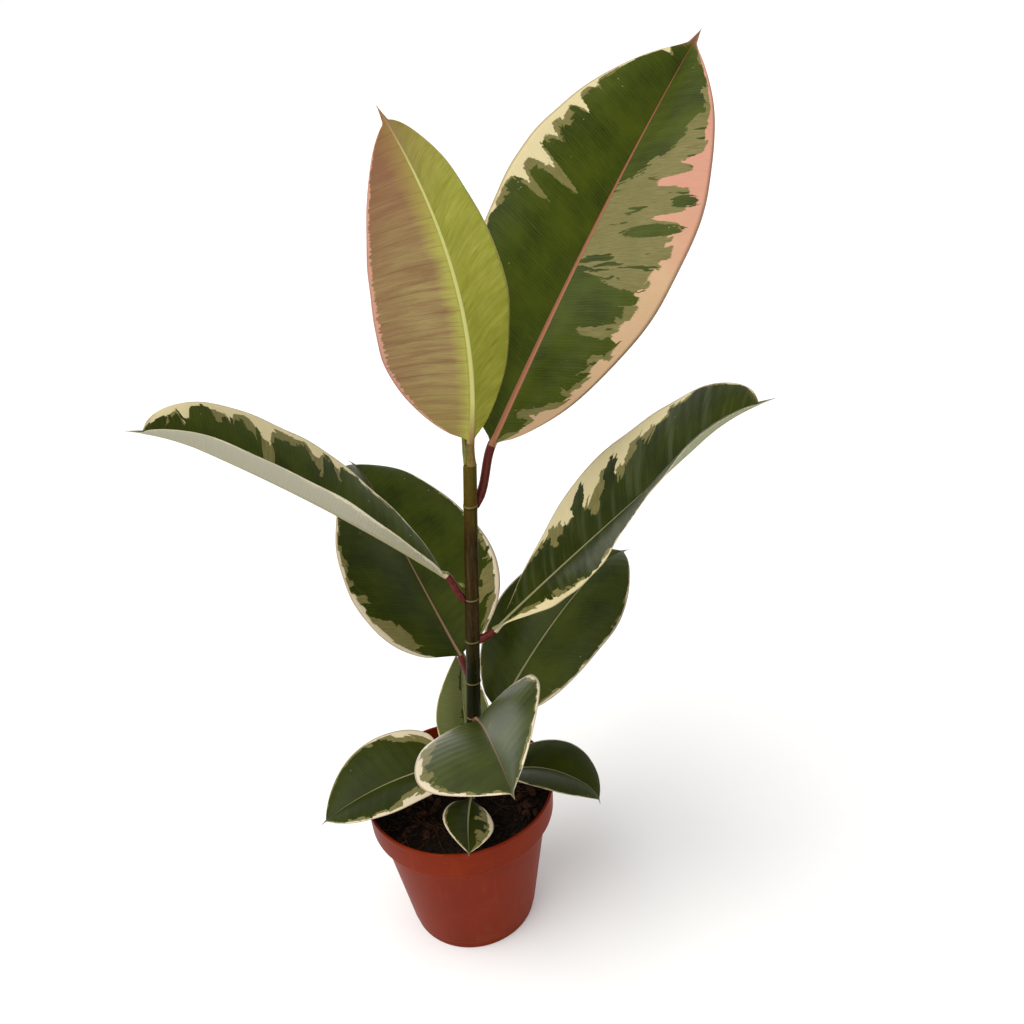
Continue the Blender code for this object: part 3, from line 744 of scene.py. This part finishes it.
def leaf_underside(name, look, number):
    """Matt pale underside: the zones show through it, and the side veins stand out."""
    graph = Graph(name + "_underside")
    _, y, out = graph.read("leaf_mm")
    _, rib, _ = graph.read("leaf_share")
    green, grey, flow = variegation(graph, number, look)
    grain = graph.streaks(flow, 1.2, y, 0.2, float(number), 3, 0.6)
    fine = graph.lines(flow, 2.1)
    main = graph.lines(flow, VEIN_SPACING)
    inner = graph.mix(grain, *look["under"])
    middle = graph.mix(grain, (0.34, 0.325, 0.20), (0.43, 0.40, 0.27))
    pale = graph.mix(grain, (0.54, 0.49, 0.34), (0.66, 0.59, 0.42))
    colour = graph.layers(
        graph.mix(green, graph.mix(grey, pale, middle), inner),
        ((0.44, 0.43, 0.28), 0.10, fine, 0.3, 0.0), ((0.46, 0.45, 0.30), 0.14, main, 0.12, 0.0),
        (graph.mix(0.5, look["rib"], (0.38, 0.35, 0.20)), graph.rise(rib, 1.1, 0.85)),
        ((0.52, 0.46, 0.30), graph.rise(out, 0.975, 0.992)))
    height = graph.add(graph.rise(fine, 0.5, 0.0), graph.times(grain, 0.6))
    roughness = graph.add(0.5, graph.times(grain, 0.12))
    return graph.finish(colour, roughness, 0.2, height, 0.1, 0.8)


def young_underside(name):
    """The youngest leaf's underside: lime on one half, brownish pink on the other."""
    graph = Graph(name + "_underside")
    run, y, out = graph.read("leaf_mm")
    share, rib, _ = graph.read("leaf_share")
    distance = graph.math("ABSOLUTE", y)
    flow = graph.add(run, graph.times(distance, -0.12))
    streak = graph.streaks(flow, 0.30, y, 0.035, 3.0, 4, 0.62)
    thread = graph.streaks(flow, 1.9, y, 0.06, 8.0, 2, 0.6)
    cloud = graph.noise(graph.join(run, y, 1.0), 0.05, 3)
    lime_to = graph.add(5.0, graph.swing(streak, 5.0), graph.times(share, 2.0))
    beside_rib = graph.rise(graph.math("SUBTRACT", lime_to, distance), -3.5, 3.5)
    brown = graph.layers(
        graph.mix(graph.rise(streak, 0.36, 0.66), (0.255, 0.148, 0.062), (0.36, 0.268, 0.10)),
        ((0.30, 0.14, 0.075), 0.35, out, 0.6, 1.0), ((0.34, 0.27, 0.06), 0.6, share, 0.25, 0.0),
        ((0.43, 0.43, 0.07), graph.times(beside_rib, 0.8)))
    lime = graph.layers(
        graph.mix(graph.rise(streak, 0.35, 0.7), (0.33, 0.335, 0.030), (0.50, 0.50, 0.085)),
        ((0.28, 0.30, 0.03), 0.5, cloud, 0.4, 0.7))
    to_tip = graph.add(share, graph.swing(streak, 0.05), graph.times(graph.rise(y, -4.0, 6.0), -0.12))
    drift = graph.swing(graph.noise(graph.join(flow, 0.0, 0.0), 0.08, 1), 4.0)
    main = graph.lines(graph.add(flow, drift), 7.0)
    tooth = graph.streaks(flow, 0.45, y, 0.08, 2.0, 3, 0.6)
    to_hem = graph.add(out, graph.swing(tooth, 0.10))
    right_half, left_half = graph.rise(y, 0.5, -0.5), graph.rise(y, -0.5, 0.5)
    shade = graph.times(graph.rise(rib, 1.3, 1.0), graph.rise(rib, 0.8, 0.9))
    rib_colour = graph.layers(
        (0.56, 0.55, 0.18), ((0.28, 0.13, 0.05), graph.rise(share, 0.14, 0.0)),
        ((0.36, 0.16, 0.07), graph.rise(share, 0.82, 0.98)))
    colour = graph.layers(
        graph.mix(graph.rise(y, -0.6, 0.6), brown, lime),
        ((0.16, 0.10, 0.03), 0.4, thread, 0.50, 0.75), ((0.25, 0.095, 0.05), 0.9, to_tip, 0.60, 0.98),
        ((0.12, 0.065, 0.025), graph.times(right_half, 0.55), main, 0.06, 0.0),
        ((0.62, 0.31, 0.22), right_half, to_hem, 0.945, 0.955),
        ((0.62, 0.62, 0.24), left_half, out, 0.975, 0.985),
        (rib_colour, graph.rise(rib, 0.85, 0.65)), ((0.18, 0.15, 0.03), graph.times(shade, 0.3)))
    height = graph.add(graph.times(thread, -0.8), graph.rise(main, 0.0, 0.1))
    roughness = graph.add(0.42, graph.times(streak, 0.12))
    return graph.finish(colour, roughness, 0.18, height, 0.1, 0.7)


def petiole_skin(name, look):
    graph = Graph(name + "_petiole")
    run, y, _ = graph.read("leaf_mm")
    mottle = graph.noise(graph.join(graph.times(run, 0.3), y, 0.0), 1, 3, 0.6)
    tint = look["petiole"]
    colour = graph.mix(graph.rise(mottle, 0.35, 0.7), tint, tuple(1.7 * part + 0.004 for part in tint))
    height = graph.noise(graph.join(run, graph.times(y, 5.0), 0.0), 0.8, 3)
    roughness = graph.add(0.34, graph.times(mottle, 0.12))
    return graph.finish(colour, roughness, 0.2, height, 0.08, 0.6)


# ---------------------------------------------------------------- stem and buds


def bump(away, width):
    """1 where away is 0, dying out over about this width."""
    return math.exp(-((away / width) ** 2))


def build_stem():
    """A round stem with a swelling and a thin ring scar at each old bud sheath."""
    sides = 40
    heights = np.arange(88, STEM_TOP / MM + 0.01, 0.6)
    rings = []
    for height in heights:
        centre = stem_axis(height * MM)
        scars = sum(bump(height - scar, 2.6) for scar in SCAR_HEIGHTS)
        lips = sum(
            bump(height - scar, 0.5) - 0.6 * bump(height - scar - 1.1, 0.5) for scar in SCAR_HEIGHTS)
        radius = stem_radius(height * MM) + (0.22 * scars + 0.2 * lips) * MM
        if height > STEM_TOP / MM - 1.2:
            radius -= 0.35 * MM * (height - STEM_TOP / MM + 1.2)
        ring = []
        for angle, across, up in around(sides):
            spot = Vector((across, up, height * 0.04))
            rough = 1 + 0.02 * noise.noise(spot * 2.5) + 0.006 * math.cos(6 * angle + height * 0.02)
            ring.append(tuple(centre + Vector((across, up, 0)) * radius * rough))
        rings.append(ring)
    mesh = tube_mesh("stem_fine", np.array(rings), [stem_bark()])
    add_piece("stem_fine", mesh, "stem_bark", "stem")


def stem_bark():
    graph = Graph("stem_bark")
    place = graph.place()
    x, y, z = graph.split(place)
    mottle = graph.noise(place, 260, 4, 0.6)
    streak = graph.stretched(9.0, 0.6, 90, 3, 0.6)
    low = graph.mix(mottle, (0.004, 0.0045, 0.0008), (0.013, 0.014, 0.0025))
    middle = graph.mix(mottle, (0.016, 0.007, 0.002), (0.050, 0.026, 0.006))
    high = graph.mix(mottle, (0.050, 0.026, 0.003), (0.105, 0.075, 0.008))
    # Painted highlight: olive streaks on the stem's -Y half only, the side the camera faces, so the stem
    # looks lit down its middle. The olive tint itself is the bark's own.
    olive_and_highlight = graph.times(graph.rise(streak, 0.48, 0.7), graph.rise(y, 0.001, -0.003))
    olive_and_highlight = graph.times(olive_and_highlight, graph.rise(z, 0.16, 0.26))
    colour = graph.layers(
        low, (middle, graph.rise(z, 0.19, 0.23)), (high, graph.rise(z, 0.285, 0.308)),
        ((0.085, 0.082, 0.008), graph.times(olive_and_highlight, 0.5)))
    # Each scar gets a pale ring, and painted shade: a dark band (below) just under its ridge.
    for scar in SCAR_HEIGHTS:
        away = graph.math("ABSOLUTE", graph.add(z, -(scar + 0.2) * MM))
        below = graph.math("ABSOLUTE", graph.add(z, -(scar - 1.2) * MM))
        colour = graph.layers(
            colour, ((0.20, 0.17, 0.055), 0.85, away, 0.55 * MM, 0.2 * MM),
            ((0.014, 0.007, 0.003), 0.45, below, 1.3 * MM, 0.3 * MM))
    pores = graph.spots(graph.join(x, y, graph.times(z, 0.55)), 330.0)
    colour = graph.layers(colour, ((0.11, 0.075, 0.025), 0.25, pores, 0.16, 0.08))
    height = graph.add(streak, graph.times(graph.rise(pores, 0.3, 0.1), 0.8))
    roughness = graph.add(0.36, graph.times(mottle, 0.2))
    return graph.finish(colour, roughness, 0.07, height, 0.2, 0.7)


def sheath_skin():
    graph = Graph("bud_sheath")
    streak = graph.stretched(8.0, 1.0, 110, 3, 0.6)
    z = graph.split(graph.place())[2]
    colour = graph.layers(
        graph.mix(graph.rise(streak, 0.35, 0.7), (0.13, 0.14, 0.022), (0.26, 0.26, 0.06)),
        ((0.30, 0.13, 0.06), 0.4, z, 0.335, 0.352))
    return graph.finish(colour, 0.4, 0.25, streak, 0.15, 0.6)


def build_buds():
    """The long sheath round the growing tip, and a small side bud, both with an overlapping seam."""
    skin = sheath_skin()
    terminal = stem_axis(STEM_TOP) + Vector((-1.9 * MM, 1.2 * MM, -0.3 * MM))
    build_bud("terminal_bud", skin, terminal, Vector((0.04, 0.06, 1)), 31.8, (1.55, 1.7, 1.5, 0.95, 0.18))
    height = 251 * MM
    side = stem_axis(height) - Vector((stem_radius(height) - 0.3 * MM, 0, 0))
    build_bud("side_bud", skin, side, Vector((-1, 0, 0.9)), 5.4, (0.9, 1.15, 1.0, 0.6, 0.12))


def build_bud(name, skin, foot, direction, length, radii):
    sides, rows = 28, 44
    along = direction.normalized()
    left = along.orthogonal().normalized()
    up = along.cross(left)
    rings = []
    for row in range(rows):
        share = row / (rows - 1)
        radius = np.interp(share, np.linspace(0, 1, len(radii)), radii)
        ring = []
        for angle, cosine, sine in around(sides):
            seam = ((angle / (2 * math.pi) + 0.8 * share) % 1) * 0.16  # an edge that winds up the bud
            spoke = left * cosine + up * sine
            ring.append(tuple(foot + along * share * length * MM + spoke * radius * (0.9 + seam) * MM))
        rings.append(ring)
    mesh = tube_mesh(name + "_fine", np.array(rings), [skin])
    add_piece(name + "_fine", mesh, "bud_sheath", name)


# ---------------------------------------------------------------- pot

RIM_RADIUS = 60.0
POT_HEIGHT = 105.0
BAND_BOTTOM = 85.0
SHOULDER_RADIUS = 54.5
BASE_RADIUS = 41.0
WALL = 1.6
POT_FLOOR = 2.2
RIM_DRAFT = 1.2
DRAIN_HOLES = 8
DRAIN_RADIUS = 4.0
DRAIN_RING_RADIUS = 27.0


def rounded(profile, steps=5):
    """A profile whose corners (radius, height, rounding) are made into arcs of points."""
    points = []
    for number, (radius, height, rounding) in enumerate(profile):
        here = Vector((radius, height))
        if not rounding:
            points.append(here)
            continue
        before = Vector(profile[number - 1][:2])
        after = Vector(profile[number + 1][:2])
        start = here + (before - here).normalized() * rounding
        end = here + (after - here).normalized() * rounding
        for step in range(steps + 1):
            t = step / steps
            points.append(start * (1 - t) ** 2 + here * 2 * t * (1 - t) + end * t**2)
    return points


def build_pot():
    band_inner = RIM_RADIUS - RIM_DRAFT - WALL
    profile = rounded([
        (0, POT_FLOOR, 0),
        (BASE_RADIUS - WALL + 0.3, POT_FLOOR, 1.2),
        (SHOULDER_RADIUS - WALL, BAND_BOTTOM + 0.8, 1.0),
        (band_inner, BAND_BOTTOM + WALL + 0.8, 0.8),
        (RIM_RADIUS - WALL, POT_HEIGHT - 2.6, 1.5),
        (RIM_RADIUS - WALL, POT_HEIGHT, 0.7),
        (RIM_RADIUS, POT_HEIGHT, 0.7),
        (RIM_RADIUS, POT_HEIGHT - 2.4, 0.5),
        (RIM_RADIUS - 0.45, POT_HEIGHT - 3.0, 0.5),
        (RIM_RADIUS - RIM_DRAFT, BAND_BOTTOM, 0.9),
        (SHOULDER_RADIUS - 0.1, BAND_BOTTOM - 0.5, 1.4),
        (BASE_RADIUS + 1.0, 6.0, 1.0),
        (BASE_RADIUS + 0.1, 5.2, 0.6),
        (BASE_RADIUS - 0.4, 0.0, 0.8),
        (BASE_RADIUS - 5, 0.0, 0),
        (0, 0.0, 0),
    ])
    mesh = bpy.data.meshes.new("pot_fine")
    edges = [(i, i + 1) for i in range(len(profile) - 1)]
    mesh.from_pydata([(point.x * MM, 0, point.y * MM) for point in profile], edges, [])
    pot = new_object("pot_turning", mesh)
    screw = pot.modifiers.new("Turn", "SCREW")
    screw.steps = screw.render_steps = 160
    screw.use_merge_vertices = True
    screw.merge_threshold = 0.00001
    cutter_mesh = bpy.data.meshes.new("drain_cutters")
    shape = bmesh.new()
    ring = DRAIN_RING_RADIUS * MM
    for _, cosine, sine in around(DRAIN_HOLES):
        bmesh.ops.create_cone(
            shape, cap_ends=True, segments=40, radius1=DRAIN_RADIUS * MM, radius2=DRAIN_RADIUS * MM,
            depth=8 * MM, matrix=Matrix.Translation((ring * cosine, ring * sine, MM)))
    shape.to_mesh(cutter_mesh)
    shape.free()
    cutter = new_object("drain_cutters", cutter_mesh)
    boolean = pot.modifiers.new("Drain", "BOOLEAN")
    boolean.operation = "DIFFERENCE"
    boolean.object = cutter
    bpy.context.view_layer.update()
    graph = bpy.context.evaluated_depsgraph_get()
    fine = bpy.data.meshes.new_from_object(pot.evaluated_get(graph))
    for helper in (pot, cutter):
        bpy.data.objects.remove(helper, do_unlink=True)
    fine.name = "pot_fine"
    fine.materials.clear()
    fine.materials.append(pot_plastic())
    fine.shade_smooth()
    fine.set_sharp_from_angle(angle=math.radians(50))
    add_piece("pot_fine", fine, "pot_plastic", "pot")


def pot_plastic():
    """Terracotta-coloured moulded plastic: satin, faintly streaked, dusty and scuffed low down."""
    graph = Graph("pot_plastic")
    place = graph.place()
    z = graph.split(place)[2]
    mottle = graph.noise(place, 22, 4, 0.55)
    fine = graph.noise(place, 900, 2, 0.6)
    drawn = graph.stretched(6.0, 0.35, 45, 3, 0.6)
    dust = graph.times(graph.rise(graph.noise(place, 75, 5, 0.7), 0.5, 0.78), graph.rise(z, 0.055, 0.0))
    specks, near_rim = graph.noise(place, 620, 2, 0.5), graph.rise(z, 0.082, 0.1)
    scuff = graph.rise(graph.stretched(2.0, 26.0, 55, 2, 0.5), 0.66, 0.72)
    colour = graph.layers(
        graph.mix(graph.rise(mottle, 0.3, 0.7), (0.150, 0.0135, 0.0025), (0.190, 0.020, 0.004)),
        ((0.31, 0.055, 0.014), 0.22, drawn, 0.55, 0.8), ((0.24, 0.11, 0.06), graph.times(dust, 0.3)),
        ((0.03, 0.018, 0.012), graph.times(near_rim, 0.8), specks, 0.73, 0.77),
        ((0.42, 0.15, 0.07), graph.times(scuff, 0.14)))
    roughness = graph.add(
        0.34, graph.times(mottle, 0.16), graph.times(dust, 0.25), graph.times(scuff, 0.12))
    height = graph.add(fine, graph.times(drawn, 1.5), graph.times(scuff, -0.8))
    return graph.finish(colour, roughness, 0.035, height, 0.06, 0.6)


# ---------------------------------------------------------------- potting mix

MIX_EDGE = 92.2
MIX_CROWN = 94.2
MIX_RADIUS = 56.7


def mix_height(x, y):
    """The potting mix's rough top, in mm, from its distance to the pot's axis and rough noise."""
    distance = math.hypot(x, y)
    smooth = MIX_CROWN + (MIX_EDGE - MIX_CROWN) * (distance / 56) ** 2
    rough = 0
    for size, amount in ((16, 1.5), (6, 1.1), (2.4, 0.8), (1.1, 0.4)):
        rough += amount * noise.noise(Vector((x / size, y / size, size * 3.1)))
    return smooth + rough - 0.9


def build_potting_mix():
    rings, sides = 150, 300
    rows = []
    for ring in range(rings + 1):
        radius = max(0.05, MIX_RADIUS * ring / rings)
        spots = [(radius * cosine, radius * sine) for _, cosine, sine in around(sides)]
        rows.append([(x * MM, y * MM, mix_height(x, y) * MM) for x, y in spots])
    for radius, height in ((56.5, 88.6), (52.3, 86.8), (41.0, 5.0), (38.5, 2.6), (0.05, 2.6)):
        rows.append([
            (radius * cosine * MM, radius * sine * MM, height * MM) for _, cosine, sine in around(sides)])
    mesh = tube_mesh("potting_mix_fine", np.array(rows), [peat()])
    add_piece("potting_mix_fine", mesh, "potting_mix", "potting_mix")


def peat():
    graph = Graph("peat")
    place = graph.place()
    crumb = graph.noise(place, 700, 5, 0.7)
    patch = graph.noise(place, 120, 3, 0.6)
    colour = graph.mix(graph.rise(crumb, 0.38, 0.7), (0.0035, 0.0022, 0.0015), (0.024, 0.013, 0.007))
    colour = graph.layers(colour, ((0.034, 0.012, 0.005), 0.5, patch, 0.55, 0.75))
    return graph.finish(colour, 0.93, 0.12, crumb, 1.2, 1.0)


def bark(name, dark, light):
    graph = Graph(name)
    place = graph.place()
    grain = graph.noise(place, 420, 4, 0.65)
    colour = graph.mix(graph.rise(grain, 0.35, 0.7), dark, light)
    return graph.finish(colour, 0.85, 0.15, grain, 0.5, 0.9)


def scatter_spot(rng, reach, clear_of_stem=7.5):
    """A random place on the mix, clear of the stem and of the small leaf that lies over the front."""
    foot = stem_axis(MIX_CROWN_HEIGHT)
    low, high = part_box("leaf_small_front")
    while True:
        radius, angle = reach * math.sqrt(rng.random()), rng.uniform(0, 2 * math.pi)
        x, y = radius * math.cos(angle), radius * math.sin(angle)
        if math.hypot(x - foot.x / MM, y - foot.y / MM) < clear_of_stem:
            continue
        if low.x / MM - 2 < x < high.x / MM + 2 and low.y / MM - 2 < y < high.y / MM + 6:
            if rng.random() < 0.75:
                continue
        return x, y


def lump(shape, rng, size, flat, spot, subdivisions):
    """Adds one rough crumb or chip: a ball pulled out of round, flattened and turned."""
    made = bmesh.ops.create_icosphere(shape, subdivisions=subdivisions, radius=1)["verts"]
    turn = Matrix.Rotation(rng.uniform(0, 2 * math.pi), 3, "Z")
    turn @= Matrix.Rotation(rng.gauss(0, 0.3), 3, "X")
    stretch = Vector((size * rng.uniform(0.8, 1.5), size * rng.uniform(0.5, 0.9), size * flat))
    seed = rng.uniform(0, 100)
    for vertex in made:
        push = 1 + 0.45 * noise.noise(vertex.co * 1.6 + Vector((seed, 0, 0)))
        local = Vector([vertex.co[axis] * stretch[axis] * push for axis in range(3)])
        vertex.co = (turn @ local + Vector(spot)) * MM


def build_crumbs():
    """Loose crumbs and bark chips that lie on the mix, and the coir fibres that stick out of it."""
    kinds = [
        ("mix_crumbs", 620, (0.5, 1.5), 0.7, 1,
         bark("mix_crumb", (0.0035, 0.002, 0.0013), (0.022, 0.012, 0.006))),
        ("bark_chips", 90, (1.8, 4.2), 0.34, 2,
         bark("bark_chip", (0.010, 0.004, 0.002), (0.065, 0.022, 0.009))),
    ]
    for name, count, sizes, flat, subdivisions, material in kinds:
        rng = random.Random(f"{SEED} {name}")
        shape = bmesh.new()
        for _ in range(count):
            size = rng.uniform(*sizes)
            x, y = scatter_spot(rng, 54.5 - 1.5 * size)
            lump(shape, rng, size, flat, (x, y, mix_height(x, y) + 0.15 * size), subdivisions)
        mesh = bpy.data.meshes.new(name)
        shape.to_mesh(mesh)
        shape.free()
        mesh.materials.append(material)
        mesh.shade_smooth()
        add_piece(name, mesh, "potting_mix")
    build_fibres()


def build_fibres():
    rng = random.Random(f"{SEED} fibres")
    material = bark("coir_fibre", (0.030, 0.010, 0.004), (0.13, 0.050, 0.020))
    sides, rows = 6, 12
    points, faces = [], []
    for _ in range(130):
        length, radius = rng.uniform(6, 20), rng.uniform(0.14, 0.32)
        x, y = scatter_spot(rng, 52 - length / 2)
        heading, curl = rng.uniform(0, 2 * math.pi), rng.uniform(-0.12, 0.12)
        arch = rng.uniform(0.2, 1.3)
        first = len(points)
        for row in range(rows):
            share = row / (rows - 1)
            heading += curl
            x += length / rows * math.cos(heading)
            y += length / rows * math.sin(heading)
            if math.hypot(x, y) > 55:
                x, y = x * 55 / math.hypot(x, y), y * 55 / math.hypot(x, y)
            z = mix_height(x, y) + 0.1 + arch * math.sin(math.pi * share)
            thick = radius * (0.35 + 0.65 * math.sin(math.pi * min(0.98, max(0.02, share))))
            for _, cosine, sine in around(sides):
                across, up = cosine * thick, sine * thick
                spot = (x - math.sin(heading) * across, y + math.cos(heading) * across, z + up)
                points.append([part * MM for part in spot])
        faces += [[first + corner for corner in face] for face in tube_faces(rows, sides)]
    mesh = bpy.data.meshes.new("coir_fibres")
    mesh.from_pydata(points, [], faces)
    mesh.materials.append(material)
    face_out(mesh)
    mesh.shade_smooth()
    add_piece("coir_fibres", mesh, "potting_mix")


# ---------------------------------------------------------------- camera, lights and floor


def build_camera():
    """Close above the pot and looking down on it, a little from its left."""
    pitch, yaw, roll = math.radians(28), math.radians(5.7), math.radians(-4.9)
    flat = math.cos(pitch)
    ahead = Vector((math.sin(yaw) * flat, math.cos(yaw) * flat, -math.sin(pitch)))
    level = Vector((math.cos(yaw), -math.sin(yaw), 0))
    above = level.cross(ahead)
    right = level * math.cos(roll) + above * math.sin(roll)
    up = above * math.cos(roll) - level * math.sin(roll)
    data = bpy.data.cameras.new("camera")
    data.lens = 35
    data.sensor_width = 36
    data.clip_start = 0.01
    camera = new_object("camera", data)
    turn = Matrix((right, up, -ahead)).transposed().to_4x4()
    camera.matrix_world = Matrix.Translation((0, -0.486, 0.555)) @ turn
    bpy.context.scene.camera = camera


def sun(name, towards, angle, power, tint=(1, 1, 1)):
    """A soft light from a wide disc in the sky, this many degrees across."""
    data = bpy.data.lights.new(name, "SUN")
    data.angle = math.radians(angle)
    data.energy = power
    data.color = tint
    light = new_object(name, data)
    light.matrix_world = (-Vector(towards)).to_track_quat("-Z", "Y").to_matrix().to_4x4()


def build_sky():
    """White near the horizon, as a studio's walls are, and dimmer overhead."""
    world = bpy.data.worlds.new("studio")
    world.use_nodes = True
    tree = world.node_tree
    background = tree.nodes["Background"]
    place = tree.nodes.new("ShaderNodeTexCoord")
    parts = tree.nodes.new("ShaderNodeSeparateXYZ")
    fade = tree.nodes.new("ShaderNodeMapRange")
    tree.links.new(place.outputs["Generated"], parts.inputs[0])
    tree.links.new(parts.outputs["Z"], fade.inputs["Value"])
    for name, value in {"From Min": 0.12, "From Max": 0.55, "To Min": 1.03, "To Max": 0.34}.items():
        fade.inputs[name].default_value = value
    tree.links.new(fade.outputs[0], background.inputs["Strength"])
    background.inputs["Color"].default_value = (1, 1, 1, 1)
    bpy.context.scene.world = world


def build_studio():
    build_sky()
    sun("key", (-0.48, -0.20, 0.85), 58, 2.6, (1, 0.985, 0.955))
    sun("side", (0.7, 0.35, 0.65), 110, 0.5)
    mesh = bpy.data.meshes.new("floor")
    half = 30
    corners = [(-half, -half, 0), (half, -half, 0), (half, half, 0), (-half, half, 0)]
    mesh.from_pydata(corners, [], [(0, 1, 2, 3)])
    graph = Graph("floor")
    tone = graph.noise(graph.place(), 1.5, 2)
    graph.finish(graph.mix(tone, (0.88, 0.88, 0.88), (0.9, 0.9, 0.9)), 0.9, 0.0)
    graph.shader.inputs["Emission Strength"].default_value = 0.12
    graph.shader.inputs["Emission Color"].default_value = (1, 1, 1, 1)
    mesh.materials.append(graph.material)
    floor = new_object("floor", mesh)
    floor.location.z = -0.05 * MM
    view = bpy.context.scene.view_settings
    view.view_transform = "Standard"
    view.look = "None"


def main():
    build_camera()
    build_studio()
    build_pot()
    build_potting_mix()
    build_crumbs()
    build_stem()
    build_buds()
    for number, (name, leaf) in enumerate(LEAVES.items()):
        build_leaf(name, PLAIN_LEAF | leaf, PLAIN_LOOK | LOOKS[name], number)


main()
